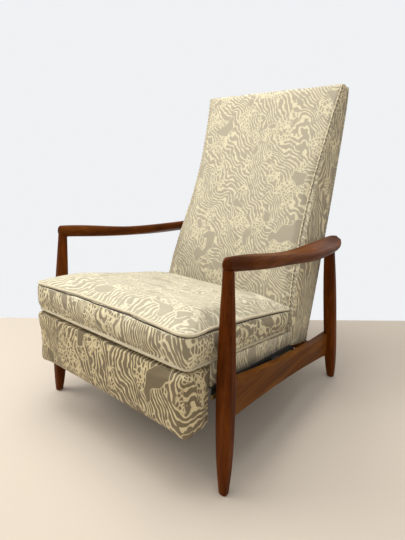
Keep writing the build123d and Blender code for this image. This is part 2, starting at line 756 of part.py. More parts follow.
def panel_section(y, top, inset):
    """Front view of the pad: drawn-in sides between round corners."""
    a = panel_half_width - inset
    low = panel_bottom + inset
    high = top - inset
    c = panel_corner_radius
    d = panel_draw_in
    k = c * round_corner_share
    mid = (low + high) / 2
    edges = [
        ThreePointArc((-a + c, low), (0, low + d), (a - c, low)),
        ThreePointArc((a - c, low), (a - k, low + k), (a, low + c)),
        ThreePointArc((a, low + c), (a - d, mid), (a, high - c)),
        ThreePointArc((a, high - c), (a - k, high - k), (a - c, high)),
        ThreePointArc((a - c, high), (0, high - d), (-a + c, high)),
        ThreePointArc((-a + c, high), (-a + k, high - k), (-a, high - c)),
        ThreePointArc((-a, high - c), (-a + d, mid), (-a, low + c)),
        ThreePointArc((-a, low + c), (-a + k, low + k), (-a + c, low)),
    ]
    plane = Plane(origin=(0, y, 0), x_dir=(1, 0, 0), z_dir=(0, -1, 0))
    return plane * make_face(Curve() + edges)


pad_rear = board_front - soft_gap
panel_sections = []
for depth_share, inset_share in zip(panel_depth_shares, panel_inset_shares):
    section_y = pad_rear - depth_share * (pad_rear - panel_front)
    section_top = panel_top - panel_top_fall * (1 - depth_share)
    panel_sections.append(panel_section(section_y, section_top, inset_share * panel_crown))
footrest_pad = loft(panel_sections)

bracket_wall = side_slab(
    [(panel_rear, bracket_flange_low), (panel_rear, bracket_flange_high),
     (panel_pivot[0], panel_pivot[1] + link_eye_radius),
     (panel_pivot[0], panel_pivot[1] - link_eye_radius)],
    bracket_inner_face, bracket_outer_face)
bracket_wall = bracket_wall + x_rod(panel_pivot[0], panel_pivot[1], bracket_inner_face,
                                    bracket_outer_face, link_eye_radius)
bracket_foot = box_between(
    (bracket_inner_face - bracket_flange_width, panel_rear, bracket_flange_low),
    (bracket_inner_face, panel_rear + bracket_thickness, bracket_flange_high))
footrest_bracket = bracket_wall + bracket_foot
footrest_bracket = footrest_bracket - pivot_hole(
    panel_pivot, bracket_inner_face, bracket_outer_face, glue_gap)
pin_end = bar_outer_face + glue_gap
footrest_pin = x_rod(panel_pivot[0], panel_pivot[1], bracket_inner_face, pin_end, pivot_radius)
footrest_pin = footrest_pin + x_rod(panel_pivot[0], panel_pivot[1], pin_end,
                                    pin_end + pivot_head_height, pivot_head_radius)

nodes["footrest_board"] = [footrest_board]
nodes["footrest_pad"] = [footrest_pad]
nodes["footrest_brackets"] = both_sides(footrest_bracket)
nodes["footrest_pins"] = both_sides(footrest_pin)

# Back: every layer is a loft through the same tilted stations
end_slope = math.radians(back_end_slope)
back_count = len(back_height_shares)
back_rise = back_top_height - back_bottom_height


def back_plane(index):
    origin = (0, back_bottom_y + back_setback * back_setback_shares[index],
              back_bottom_height + back_rise * back_height_shares[index])
    normal = (0, math.sin(end_slope), math.cos(end_slope))
    return Plane(origin=origin, x_dir=(1, 0, 0), z_dir=normal)


def back_half(index):
    return back_half_width * back_width_shares[index]


def back_pad(index):
    return back_pad_depth * back_pad_shares[index]


def back_total(index):
    return back_depth * back_depth_shares[index]


def back_box(index, x_low, x_high, near, far):
    outline = Polygon((x_low, near), (x_high, near), (x_high, far), (x_low, far), align=None)
    return back_plane(index) * outline


def back_layer(x_low, x_high, near, far):
    """Loft of rectangles; each limit is a function of the station's index."""
    sections = [back_box(i, x_low(i), x_high(i), near(i), far(i)) for i in range(back_count)]
    return loft(sections)


def back_cushion_section(index):
    a = back_half(index)
    c = min(back_corner_round, back_pad(index) * back_corner_pad_share)
    k = c * round_corner_share
    crown = back_crown * back_crown_shares[index]
    depth = back_pad(index)
    edges = [
        ThreePointArc((-a + c, 0), (0, -crown), (a - c, 0)),
        ThreePointArc((a - c, 0), (a - k, k), (a, c)),
        Line((a, c), (a, depth)),
        Line((a, depth), (-a, depth)),
        Line((-a, depth), (-a, c)),
        ThreePointArc((-a, c), (-a + k, k), (-a + c, 0)),
    ]
    return back_plane(index) * make_face(Curve() + edges)


back_board_inner = back_board_outer - back_board_thickness
strap_space = webbing_thickness + 2 * webbing_gap
back_cushion = loft([back_cushion_section(i) for i in range(back_count)])
back_board = back_layer(
    lambda i: back_board_inner, lambda i: back_board_outer,
    lambda i: back_pad(i) + soft_gap + strap_space,
    lambda i: back_total(i) - back_panel_thickness - soft_gap)
back_panel = back_layer(
    lambda i: -back_rear_half_width, lambda i: back_rear_half_width,
    lambda i: back_total(i) - back_panel_thickness, back_total)


def back_band_section(index):
    """Side band, as wide as the pad in front and as the panel behind."""
    near = back_pad(index) + soft_gap
    far = back_total(index) - back_panel_thickness - soft_gap
    inner = back_board_outer + soft_gap
    outline = Polygon((inner, near), (back_half(index), near), (back_rear_half_width, far),
                      (inner, far), align=None)
    return back_plane(index) * outline


back_band = loft([back_band_section(i) for i in range(back_count)])
cap_layer = back_layer(
    lambda i: -back_board_outer, lambda i: back_board_outer,
    lambda i: back_pad(i) + soft_gap,
    lambda i: back_total(i) - back_panel_thickness - soft_gap)
top_zone = back_plane(back_count - 1) * Pos(0, 0, -back_top_cap_height / 2) * Box(
    2 * back_board_outer, 2 * back_depth, back_top_cap_height)
back_cap = cap_layer & top_zone
back_board = back_board - top_zone
base_half_width = bracket_inner - hinge_head_radius
base_layer = back_layer(
    lambda i: -base_half_width, lambda i: base_half_width,
    lambda i: back_pad(i) + soft_gap + strap_space,
    lambda i: back_total(i) - back_panel_thickness - soft_gap)
base_zone = back_plane(0) * Pos(0, 0, back_bottom_thickness / 2) * Box(
    2 * back_board_outer, 2 * back_top_height, back_bottom_thickness)
back_base = base_layer & base_zone


def back_slices(layer, lows, height):
    """Level slices of a layer, from each low height up."""
    slices = []
    for low in lows:
        cutter = box_between((-back_half_width, 0, low), (back_half_width, back_top_height, low + height))
        slices.append(layer & cutter)
    return slices


def back_level(share):
    return back_bottom_height + share * back_rise


strap_layer = back_layer(
    lambda i: -back_board_outer, lambda i: back_board_outer,
    lambda i: back_pad(i) + soft_gap + webbing_gap,
    lambda i: back_pad(i) + soft_gap + webbing_gap + webbing_thickness)
rail_layer = back_layer(
    lambda i: -back_board_inner, lambda i: back_board_inner,
    lambda i: back_pad(i) + soft_gap + strap_space,
    lambda i: back_pad(i) + soft_gap + strap_space + back_rail_depth * back_pad_shares[i])
top_rail_low = back_top_height - back_top_cap_height - back_top_rail_clearance - back_rail_height
back_straps = back_slices(strap_layer, [back_level(share) for share in back_strap_places], webbing_width)
back_rails = back_slices(rail_layer, [back_level(back_middle_rail_place), top_rail_low], back_rail_height)

# Back brackets: an eye on each hinge pin and a plate inside each board
bracket_foot = (hinge_y + hinge_bracket_reach[0], hinge_z + hinge_bracket_reach[1])
bracket_lean = math.atan2(back_setback * back_setback_shares[1], back_rise * back_height_shares[1])
bracket_top = (bracket_foot[0] + hinge_bracket_height * math.sin(bracket_lean),
               bracket_foot[1] + hinge_bracket_height * math.cos(bracket_lean))
back_bracket = side_slab(
    [(hinge_y - eye_reach, hinge_z + eye_reach), (hinge_y + eye_reach, hinge_z - eye_reach),
     (bracket_foot[0] + hinge_bracket_width / 2, bracket_foot[1] - hinge_bracket_width / 2),
     (bracket_top[0] + hinge_bracket_width / 2, bracket_top[1]),
     (bracket_top[0] - hinge_bracket_width / 2, bracket_top[1]),
     (bracket_foot[0] - hinge_bracket_width / 2, bracket_foot[1]),
     (hinge_y + hinge_bracket_knee[0], hinge_z + hinge_bracket_knee[1])],
    bracket_inner, bracket_outer)
back_bracket = back_bracket + x_rod(hinge_y, hinge_z, bracket_inner, bracket_outer, hinge_eye_radius)
back_bracket = back_bracket - x_rod(hinge_y, hinge_z, bracket_inner - cut_overrun,
                                    bracket_outer + cut_overrun, hinge_pin_radius + running_clearance)
back_bolts = []
for share in hinge_bolt_shares:
    bolt_y = bracket_foot[0] + share * (bracket_top[0] - bracket_foot[0])
    bolt_z = bracket_foot[1] + share * (bracket_top[1] - bracket_foot[1])
    bolt = x_rod(bolt_y, bolt_z, bracket_inner, back_board_outer, hinge_bolt_radius)
    bolt = bolt + x_rod(bolt_y, bolt_z, bracket_inner - bolt_head_height, bracket_inner,
                        bolt_head_radius)
    hole = x_rod(bolt_y, bolt_z, bracket_inner - cut_overrun, back_board_outer,
                 hinge_bolt_radius + glue_gap)
    back_bracket = back_bracket - hole
    back_board = back_board - hole
    back_bolts += both_sides(bolt)

nodes["back_cushion"] = [back_cushion]
nodes["back_panel"] = [back_panel]
nodes["back_top_cap"] = [back_cap]
nodes["back_base_board"] = [back_base]
nodes["back_cross_rails"] = back_rails
nodes["back_webbing"] = back_straps
nodes["back_bolts"] = back_bolts
add_pair("back_board", back_board)
add_pair("back_band", back_band)
add_pair("back_bracket", back_bracket)

# Shift so that the origin lies under the middle of the whole chair
front_reach = min(piece.bounding_box().min.Y for pieces in nodes.values() for piece in pieces)
rear_reach = max(piece.bounding_box().max.Y for pieces in nodes.values() for piece in pieces)
origin_y = (front_reach + rear_reach) / 2


def write_nodes():
    for name, pieces in nodes.items():
        solids = [solid for piece in pieces for solid in piece.solids()]
        moved = [Pos(0, -origin_y, 0) * solid for solid in solids]
        shape = moved[0] if len(moved) == 1 else Compound(children=moved)
        export_step(shape, os.path.join("parts", name + ".step"))


write_nodes()
print("nodes", len(nodes), "origin shift", round(origin_y, 3))
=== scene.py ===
"""Looks of the push-back lounge chair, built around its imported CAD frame."""

import math

import bmesh
import bpy
from mathutils import Matrix, Vector
from mathutils.bvhtree import BVHTree
from mathutils.kdtree import KDTree


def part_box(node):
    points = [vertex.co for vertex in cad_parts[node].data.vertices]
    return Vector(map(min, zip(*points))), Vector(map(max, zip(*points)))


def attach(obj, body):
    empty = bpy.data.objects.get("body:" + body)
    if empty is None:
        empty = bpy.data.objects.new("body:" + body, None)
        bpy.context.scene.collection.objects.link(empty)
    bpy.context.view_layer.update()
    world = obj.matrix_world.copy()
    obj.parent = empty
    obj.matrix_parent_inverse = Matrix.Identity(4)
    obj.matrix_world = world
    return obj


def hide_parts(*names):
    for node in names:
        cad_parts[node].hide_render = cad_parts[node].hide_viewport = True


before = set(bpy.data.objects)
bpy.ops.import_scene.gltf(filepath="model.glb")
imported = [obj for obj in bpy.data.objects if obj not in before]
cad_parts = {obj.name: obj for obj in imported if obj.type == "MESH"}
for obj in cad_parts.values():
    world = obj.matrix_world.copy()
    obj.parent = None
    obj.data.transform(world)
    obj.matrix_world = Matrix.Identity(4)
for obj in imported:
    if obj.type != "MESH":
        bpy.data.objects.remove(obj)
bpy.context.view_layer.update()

MM = 0.001

# Where the camera stood, from the middle of the chair's box on the floor
CAMERA_PLACE = Vector((0.7354, -0.9449, 0.7337))
CAMERA_TURN = math.radians(37.86)
CAMERA_DROP = math.radians(15.123)
CAMERA_ROLL = math.radians(1.125)
CAMERA_LENS = 25.48
SENSOR = 36.0

# Colours, linear
# Cushion top: the same cloth as the other covers, made lighter with painted sheen and painted light from above
TOP_SHEEN_COLOURS = ((0.46, 0.405, 0.285, 1), (0.76, 0.69, 0.50, 1))
# Back, band and side pairs: the same cloth again, each a little lighter or darker for the light on those faces:
# painted light and shade
BACK_COLOURS = ((0.375, 0.325, 0.235, 1), (0.64, 0.57, 0.39, 1))
BAND_COLOURS = ((0.295, 0.24, 0.153, 1), (0.79, 0.69, 0.445, 1))
SIDE_COLOURS = ((0.37, 0.308, 0.21, 1), (0.80, 0.69, 0.445, 1))
# Footrest panel, also used on the deck and the seat's front cloth: the same cloth made darker, painted shade
PANEL_SHADE_COLOURS = ((0.200, 0.150, 0.082, 1), (0.70, 0.575, 0.335, 1))
WELT = (0.60, 0.52, 0.36, 1)
LEG_DARK = (0.052, 0.0105, 0.0010, 1)
LEG = (0.118, 0.026, 0.0022, 1)
LEG_LIGHT = (0.19, 0.048, 0.005, 1)
ARM_DARK = (0.060, 0.0125, 0.0012, 1)
ARM = (0.122, 0.031, 0.0026, 1)
ARM_LIGHT = (0.20, 0.062, 0.010, 1)
RAIL_DARK = (0.075, 0.021, 0.0020, 1)
RAIL = (0.150, 0.046, 0.0055, 1)
RAIL_LIGHT = (0.24, 0.09, 0.014, 1)
PINE = (0.52, 0.34, 0.17, 1)
PINE_DARK = (0.36, 0.2, 0.09, 1)
# Dark thread of the back's stitches; also the colour of the cord of painted shade under the cushion's top welt
THREAD_AND_SHADE = (0.045, 0.030, 0.016, 1)

# Soft goods
VOXEL = 5 * MM
CLOTH_PRESSURE = 4.0
CLOTH_FRAMES = 20
WELT_RADIUS = 3.8 * MM
WELT_STEPS = 12
SEAM_SHADOW = 5.0 * MM
# Cord of painted shade under the cushion's top welt
SHADE_CORD_RADIUS = 1.8 * MM


def new_material(name):
    material = bpy.data.materials.new(name)
    material.use_nodes = True
    nodes = material.node_tree.nodes
    nodes.clear()
    output = nodes.new("ShaderNodeOutputMaterial")
    shader = nodes.new("ShaderNodeBsdfPrincipled")
    material.node_tree.links.new(shader.outputs[0], output.inputs[0])
    return material, material.node_tree, shader


def add(tree, kind, **inputs):
    """New node, with its input sockets set by name."""
    node = tree.nodes.new(kind)
    for key, value in inputs.items():
        node.inputs[key.replace("_", " ")].default_value = value
    return node


def link(tree, start, end):
    tree.links.new(start, end)


def ramp(tree, source, stops):
    node = tree.nodes.new("ShaderNodeValToRGB")
    elements = node.color_ramp.elements
    while len(elements) < len(stops):
        elements.new(0.5)
    for element, (place, colour) in zip(elements, stops):
        element.position = place
        element.color = colour
    link(tree, source, node.inputs["Fac"])
    return node.outputs["Color"]


def grey(value):
    return (value, value, value, 1)


def shade(colour, share):
    return tuple(channel * share for channel in colour[:3]) + (1,)


def mapped(tree, scale=(1, 1, 1), place=(0, 0, 0), turn=(0, 0, 0)):
    coordinates = tree.nodes.new("ShaderNodeTexCoord")
    mapping = tree.nodes.new("ShaderNodeMapping")
    mapping.inputs["Scale"].default_value = scale
    mapping.inputs["Location"].default_value = place
    mapping.inputs["Rotation"].default_value = turn
    link(tree, coordinates.outputs["Object"], mapping.inputs["Vector"])
    return mapping.outputs["Vector"]


def noise(tree, vector, scale, detail=2.0, roughness=0.5, distortion=0.0):
    node = add(tree, "ShaderNodeTexNoise", Scale=scale, Detail=detail, Roughness=roughness, Distortion=distortion)
    link(tree, vector, node.inputs["Vector"])
    return node


def mix(tree, factor, a, b, kind="MIX"):
    """Colour mix; each of factor, a and b is a socket or a plain value."""
    node = tree.nodes.new("ShaderNodeMix")
    node.data_type = "RGBA"
    node.blend_type = kind
    for value, socket in ((factor, node.inputs[0]), (a, node.inputs[6]), (b, node.inputs[7])):
        if isinstance(value, bpy.types.NodeSocket):
            link(tree, value, socket)
        else:
            socket.default_value = value
    return node.outputs[2]


def math_node(tree, operation, a, b=0.0):
    node = tree.nodes.new("ShaderNodeMath")
    node.operation = operation
    for value, socket in ((a, node.inputs[0]), (b, node.inputs[1])):
        if isinstance(value, bpy.types.NodeSocket):
            link(tree, value, socket)
        else:
            socket.default_value = value
    return node.outputs[0]


def bump(tree, shader, height, strength, distance):
    node = add(tree, "ShaderNodeBump", Strength=strength, Distance=distance)
    link(tree, height, node.inputs["Height"])
    link(tree, node.outputs["Normal"], shader.inputs["Normal"])


def axis(tree, vector, name):
    split = tree.nodes.new("ShaderNodeSeparateXYZ")
    link(tree, vector, split.inputs[0])
    return split.outputs[name]


def threads(tree, vector):
    """Raised threads of the weave: wandering lines, clusters of cells, and plain patches."""
    warp = noise(tree, vector, 10.0)
    offset = tree.nodes.new("ShaderNodeVectorMath")
    offset.operation = "MULTIPLY_ADD"
    link(tree, warp.outputs["Color"], offset.inputs[0])
    offset.inputs[1].default_value = (0.05, 0.05, 0.05)
    link(tree, vector, offset.inputs[2])
    wandering = offset.outputs[0]
    field = noise(tree, vector, 7.0, roughness=0.45)
    run = math_node(tree, "MULTIPLY", axis(tree, wandering, "X"), 92.0)
    swirl = math_node(tree, "MULTIPLY", field.outputs["Fac"], 14.0)
    wobble = noise(tree, vector, 48.0, detail=1.0)
    shake = math_node(tree, "MULTIPLY", wobble.outputs["Fac"], 1.2)
    turns = math_node(tree, "ADD", math_node(tree, "ADD", run, swirl), shake)
    waves = math_node(tree, "SINE", math_node(tree, "MULTIPLY", turns, 2 * math.pi))
    blots = noise(tree, vector, 75.0, detail=1.0)
    rough_edge = math_node(tree, "MULTIPLY", math_node(tree, "SUBTRACT", blots.outputs["Fac"], 0.5), 2.8)
    lines = ramp(tree, math_node(tree, "ADD", waves, rough_edge), ((0.26, grey(0)), (0.62, grey(1))))
    cells = add(tree, "ShaderNodeTexVoronoi", Scale=108.0, Randomness=1.0)
    cells.feature = "DISTANCE_TO_EDGE"
    link(tree, wandering, cells.inputs["Vector"])
    rims = ramp(tree, cells.outputs["Distance"], ((0.09, grey(1)), (0.18, grey(0))))
    cluster = noise(tree, vector, 17.0, detail=1.5)
    in_cluster = ramp(tree, cluster.outputs["Fac"], ((0.558, grey(0)), (0.585, grey(1))))
    woven = mix(tree, in_cluster, lines, rims)
    calm = noise(tree, wandering, 16.0, detail=1.0)
    patch_rim = ramp(tree, calm.outputs["Fac"], (
        (0.0, grey(0)), (0.625, grey(0)), (0.632, grey(1)), (0.638, grey(1)), (0.645, grey(0))))
    outside = ramp(tree, calm.outputs["Fac"], ((0.628, grey(1)), (0.634, grey(0))))
    return mix(tree, 1.0, mix(tree, 1.0, woven, outside, "MULTIPLY"), patch_rim, "LIGHTEN")


def jacquard(name, colours, stretch=(1, 1, 1), turn=(0, 0, 0), place=(0, 0, 0)):
    """Woven upholstery: raised cream threads over a flat taupe ground."""
    ground, raised_colour = colours
    material, tree, shader = new_material(name)
    vector = mapped(tree, scale=stretch, turn=turn, place=place)
    thread = threads(tree, vector)
    tone = noise(tree, vector, 9.0, detail=3.0)
    base = mix(tree, tone.outputs["Fac"], ground, shade(ground, 0.82))
    raised = mix(tree, tone.outputs["Fac"], raised_colour, shade(raised_colour, 0.86))
    colour = mix(tree, thread, base, raised)
    fine = noise(tree, mapped(tree), 420.0, detail=2.0, roughness=0.7)
    speckle = ramp(tree, fine.outputs["Fac"], ((0.3, grey(0.86)), (0.7, grey(1.0))))
    link(tree, mix(tree, 1.0, colour, speckle, "MULTIPLY"), shader.inputs["Base Color"])
    link(tree, ramp(tree, thread, ((0, grey(0.62)), (1, grey(0.8)))), shader.inputs["Roughness"])
    shader.inputs["Sheen Weight"].default_value = 0.06
    shader.inputs["Sheen Roughness"].default_value = 0.5
    shader.inputs["Specular IOR Level"].default_value = 0.3
    height = math_node(tree, "ADD", thread, math_node(tree, "MULTIPLY", fine.outputs["Fac"], 0.4))
    bump(tree, shader, height, 0.35, 0.6 * MM)
    return material


def walnut(name, along, dark, middle, light, gloss=0.3):
    """Oiled wood with long figure and fine pores along one axis."""
    material, tree, shader = new_material(name)
    stretch = [1.0, 1.0, 1.0]
    stretch[along] = 0.09
    vector = mapped(tree, scale=stretch)
    figure = noise(tree, vector, 26.0, detail=5.0, roughness=0.62, distortion=1.1)
    streaks = ramp(tree, figure.outputs["Fac"], ((0.30, dark), (0.5, middle), (0.70, light)))
    stretch[along] = 0.02
    fine = noise(tree, mapped(tree, scale=stretch), 420.0, detail=3.0, roughness=0.65)
    pores = ramp(tree, fine.outputs["Fac"], ((0.34, grey(0.62)), (0.56, grey(1.0))))
    wear = noise(tree, mapped(tree), 7.0, detail=3.0)
    worn = ramp(tree, wear.outputs["Fac"], ((0.35, grey(0.8)), (0.7, grey(1.0))))
    colour = mix(tree, 1.0, mix(tree, 1.0, streaks, pores, "MULTIPLY"), worn, "MULTIPLY")
    link(tree, colour, shader.inputs["Base Color"])
    rough = ramp(tree, wear.outputs["Fac"], ((0.3, grey(gloss)), (0.75, grey(gloss + 0.16))))
    link(tree, rough, shader.inputs["Roughness"])
    shader.inputs["Specular IOR Level"].default_value = 0.05
    bump(tree, shader, fine.outputs["Fac"], 0.12, 0.3 * MM)
    return material


def metal(name, colour, roughness, spots):
    material, tree, shader = new_material(name)
    vector = mapped(tree)
    grain = noise(tree, vector, 90.0, detail=4.0)
    tint = ramp(tree, grain.outputs["Fac"], ((0.3, tuple(c * spots for c in colour[:3]) + (1,)), (0.7, colour)))
    link(tree, tint, shader.inputs["Base Color"])
    shader.inputs["Metallic"].default_value = 1.0
    link(tree, ramp(tree, grain.outputs["Fac"], ((0.3, grey(roughness)), (0.7, grey(roughness + 0.15)))),
         shader.inputs["Roughness"])
    brush = noise(tree, mapped(tree, scale=(1, 0.05, 1)), 700.0, detail=2.0)
    bump(tree, shader, brush.outputs["Fac"], 0.08, 0.2 * MM)
    return material


def plain(name, colour, roughness, scale, depth):
    """Paint, nylon or black cloth: one colour, broken up a little, over fine relief."""
    material, tree, shader = new_material(name)
    vector = mapped(tree)
    grain = noise(tree, vector, scale, detail=3.0)
    low = tuple(c * 0.8 for c in colour[:3]) + (1,)
    link(tree, ramp(tree, grain.outputs["Fac"], ((0.3, low), (0.7, colour))), shader.inputs["Base Color"])
    link(tree, ramp(tree, grain.outputs["Fac"], ((0.3, grey(roughness)), (0.7, grey(roughness + 0.1)))),
         shader.inputs["Roughness"])
    bump(tree, shader, grain.outputs["Fac"], 0.2, depth)
    return material


def webbing(name):
    """Black woven strap: ribs across two directions."""
    material, tree, shader = new_material(name)
    vector = mapped(tree)
    ribs = add(tree, "ShaderNodeTexWave", Scale=180.0, Distortion=0.4)
    link(tree, vector, ribs.inputs["Vector"])
    cross = add(tree, "ShaderNodeTexWave", Scale=180.0, Distortion=0.4)
    cross.bands_direction = "Y"
    link(tree, vector, cross.inputs["Vector"])
    height = math_node(tree, "MULTIPLY", ribs.outputs["Fac"], cross.outputs["Fac"])
    link(tree, ramp(tree, height, ((0.2, (0.02, 0.018, 0.016, 1)), (0.8, (0.075, 0.068, 0.06, 1)))),
         shader.inputs["Base Color"])
    shader.inputs["Roughness"].default_value = 0.85
    bump(tree, shader, height, 0.4, 0.5 * MM)
    return material


SLANT = math.radians(28)
BACK_SLANT = math.radians(48)
# The cushion top: the cloth with painted sheen and painted top light
fabric_top_sheen = jacquard("jacquard_top_painted_sheen", TOP_SHEEN_COLOURS, (0.8, 1, 1), (0, 0, 0.5))
fabric_band = jacquard("jacquard_band", BAND_COLOURS, (1, 1, 0.55), (0, 0.3, 0), (0.4, 2.1, 0.6))
fabric_back = jacquard("jacquard_back", BACK_COLOURS, (1, 1, 0.85), (0, BACK_SLANT, 0), (0.7, 0.2, 0.35))
fabric_side = jacquard("jacquard_side", SIDE_COLOURS, (1, 1, 0.6), (0, 0, math.pi / 2), (1.3, 0.9, 2.2))
# The footrest panel, deck and front cloth: the cloth with painted shade
fabric_panel_shade = jacquard("jacquard_panel_painted_shade", PANEL_SHADE_COLOURS, (1, 1, 0.7), (0, SLANT, 0), (1.9, 1.2, 0.85))
fabric_welt = plain("welt_cloth", WELT, 0.78, 260.0, 0.3 * MM)
# Real stitches, and the cord of painted shade under the top welt
thread_and_shade_material = plain("dark_thread_and_painted_shade", THREAD_AND_SHADE, 0.8, 300.0, 0.1 * MM)
wood_upright = walnut("walnut_upright", 2, LEG_DARK, LEG, LEG_LIGHT, 0.28)
wood_arm = walnut("walnut_arm", 1, ARM_DARK, ARM, ARM_LIGHT, 0.28)
wood_along = walnut("walnut_along", 1, RAIL_DARK, RAIL, RAIL_LIGHT, 0.42)
wood_across = walnut("walnut_across", 0, RAIL_DARK, RAIL, RAIL_LIGHT, 0.42)
pine_along = walnut("pine_along", 1, PINE_DARK, PINE, PINE, 0.6)
pine_across = walnut("pine_across", 0, PINE_DARK, PINE, PINE, 0.6)
pine_upright = walnut("pine_upright", 2, PINE_DARK, PINE, PINE, 0.6)
black_steel = plain("black_steel", (0.012, 0.012, 0.012, 1), 0.42, 300.0, 0.15 * MM)
zinc = metal("yellow_zinc", (0.62, 0.45, 0.2, 1), 0.32, 0.72)
steel = metal("bright_steel", (0.56, 0.55, 0.53, 1), 0.28, 0.8)
nylon = plain("nylon", (0.02, 0.02, 0.02, 1), 0.45, 150.0, 0.1 * MM)
black_cloth = plain("black_cloth", (0.016, 0.015, 0.014, 1), 0.9, 900.0, 0.3 * MM)
strap = webbing("strap")

sides = ("left_", "right_")


def paired(*names):
    return [side + name for side in sides for name in names]


node_materials = {
    wood_upright: paired("front_leg", "rear_leg"),
    wood_arm: paired("armrest"),
    wood_along: paired("side_rail"),
    wood_across: ["middle_stretcher", "rear_stretcher"],
    pine_along: paired("seat_rail") + ["rail_dowels"],
    pine_across: ["seat_front_rail", "seat_rear_rail", "back_cross_rails", "back_base_board",
                  "footrest_board", "corner_blocks"],
    pine_upright: paired("back_board") + ["arm_dowels"],
    black_steel: paired("seat_plate", "track_plate", "back_bracket") + ["track_spacers", "hinge_pins"],
    zinc: paired("footrest_arm", "front_link", "rear_link") + ["slide_runners", "footrest_brackets"],
    steel: ["link_studs", "seat_screws", "track_bolts", "back_bolts",
            "front_link_pins", "rear_link_pins", "footrest_pins", "leg_glides"],
    nylon: ["guide_blocks"],
    black_cloth: ["dust_cover"],
    strap: ["seat_webbing", "back_webbing"],
}
for material, names in node_materials.items():
    for name in names:
        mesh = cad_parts[name].data
        mesh.materials.clear()
        mesh.materials.append(material)


def copy_of(nodes, name):
    """One new mesh object from the shapes of CAD nodes."""
    joined = bmesh.new()
    for node in nodes:
        joined.from_mesh(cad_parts[node].data)
    bmesh.ops.remove_doubles(joined, verts=joined.verts, dist=0.02 * MM)
    mesh = bpy.data.meshes.new(name)
    joined.to_mesh(mesh)
    joined.free()
    piece = bpy.data.objects.new(name, mesh)
    bpy.context.scene.collection.objects.link(piece)
    return piece


def apply_modifier(piece, kind, **values):
    modifier = piece.modifiers.new(kind.lower(), kind)
    for key, value in values.items():
        setattr(modifier, key, value)
    bpy.context.view_layer.objects.active = piece
    bpy.ops.object.modifier_apply(modifier=modifier.name)


def remesh(piece, voxel):
    apply_modifier(piece, "REMESH", mode="VOXEL", voxel_size=voxel, adaptivity=0.0)


def inflate(piece, cap, share=None):
    """Cloth with inner pressure; no point moves further than cap times its share."""
    start = [(vertex.co.copy(), vertex.normal.copy()) for vertex in piece.data.vertices]
    modifier = piece.modifiers.new("cloth", "CLOTH")
    settings = modifier.settings
    settings.quality = 5
    settings.mass = 0.4
    settings.tension_stiffness = 18
    settings.compression_stiffness = 18
    settings.shear_stiffness = 8
    settings.bending_stiffness = 4
    settings.use_pressure = True
    settings.uniform_pressure_force = CLOTH_PRESSURE
    settings.effector_weights.gravity = 0
    modifier.collision_settings.use_collision = False
    modifier.point_cache.frame_start = 1
    modifier.point_cache.frame_end = CLOTH_FRAMES
    scene = bpy.context.scene
    for step in range(1, CLOTH_FRAMES + 1):
        scene.frame_set(step)
    bpy.context.view_layer.objects.active = piece
    bpy.ops.object.modifier_apply(modifier=modifier.name)
    scene.frame_set(1)
    for vertex, (place, normal) in zip(piece.data.vertices, start):
        move = vertex.co - place
        if move.length > cap:
            move = move * (cap / move.length)
        if share:
            move = move * share(place, normal)
        vertex.co = place + move


def smooth(piece, levels=1):
    if levels:
        apply_modifier(piece, "SUBSURF", levels=levels, render_levels=levels)
    for polygon in piece.data.polygons:
        polygon.use_smooth = True


def finish_soft(piece, body, nodes, material):
    piece.data.materials.clear()
    piece.data.materials.append(material)
    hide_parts(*nodes)
    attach(piece, body)


def surface_of(piece):
    return BVHTree.FromObject(piece, bpy.context.evaluated_depsgraph_get())


def tube(name, points, radius, closed, body, material, steps=WELT_STEPS):
    """Round cord of cloth along points, as a mesh."""
    curve = bpy.data.curves.new(name, "CURVE")
    curve.dimensions = "3D"
    curve.bevel_depth = radius
    curve.bevel_resolution = steps // 4
    curve.resolution_u = 2
    spline = curve.splines.new("POLY")
    spline.points.add(len(points) - 1)
    for target, point in zip(spline.points, points):
        target.co = (*point, 1)
    spline.use_cyclic_u = closed
    holder = bpy.data.objects.new(name + "_line", curve)
    bpy.context.scene.collection.objects.link(holder)
    bpy.context.view_layer.update()
    mesh = bpy.data.meshes.new_from_object(holder.evaluated_get(bpy.context.evaluated_depsgraph_get()))
    bpy.data.objects.remove(holder)
    piece = bpy.data.objects.new(name, mesh)
    bpy.context.scene.collection.objects.link(piece)
    for polygon in piece.data.polygons:
        polygon.use_smooth = True
    piece.data.materials.clear()
    piece.data.materials.append(material)
    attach(piece, body)
    return piece


def ring(piece, centre, across, along, count):
    """Closed line around a cover, where a plane through it cuts its outside."""
    surface = surface_of(piece)
    reach = 2.0
    points = []
    for index in range(count):
        angle = 2 * math.pi * index / count
        out = math.cos(angle) * across + math.sin(angle) * along
        hit = surface.ray_cast(centre + reach * out, -out)[0]
        if hit is not None:
            points.append(hit)
    return even_line(points, True)


def even_line(points, closed, gap=5 * MM):
    """The same line with its points at equal steps."""
    line = points + [points[0]] if closed else points
    lengths = [0.0]
    for start, stop in zip(line, line[1:]):
        lengths.append(lengths[-1] + (stop - start).length)
    count = max(2, round(lengths[-1] / gap))
    spaced = []
    index = 0
    for step in range(count if closed else count + 1):
        target = lengths[-1] * step / count
        while index < len(lengths) - 2 and lengths[index + 1] < target:
            index += 1
        span = max(lengths[index + 1] - lengths[index], 1e-9)
        spaced.append(line[index].lerp(line[index + 1], (target - lengths[index]) / span))
    return spaced


def soften(points, closed, rounds=3):
    """Takes the voxel steps out of a line."""
    for _ in range(rounds):
        count = len(points)
        smoothed = []
        for index, point in enumerate(points):
            if not closed and index in (0, count - 1):
                smoothed.append(point)
                continue
            before = points[index - 1]
            after = points[(index + 1) % count]
            smoothed.append((before + 2 * point + after) / 4)
        points = smoothed
    return points


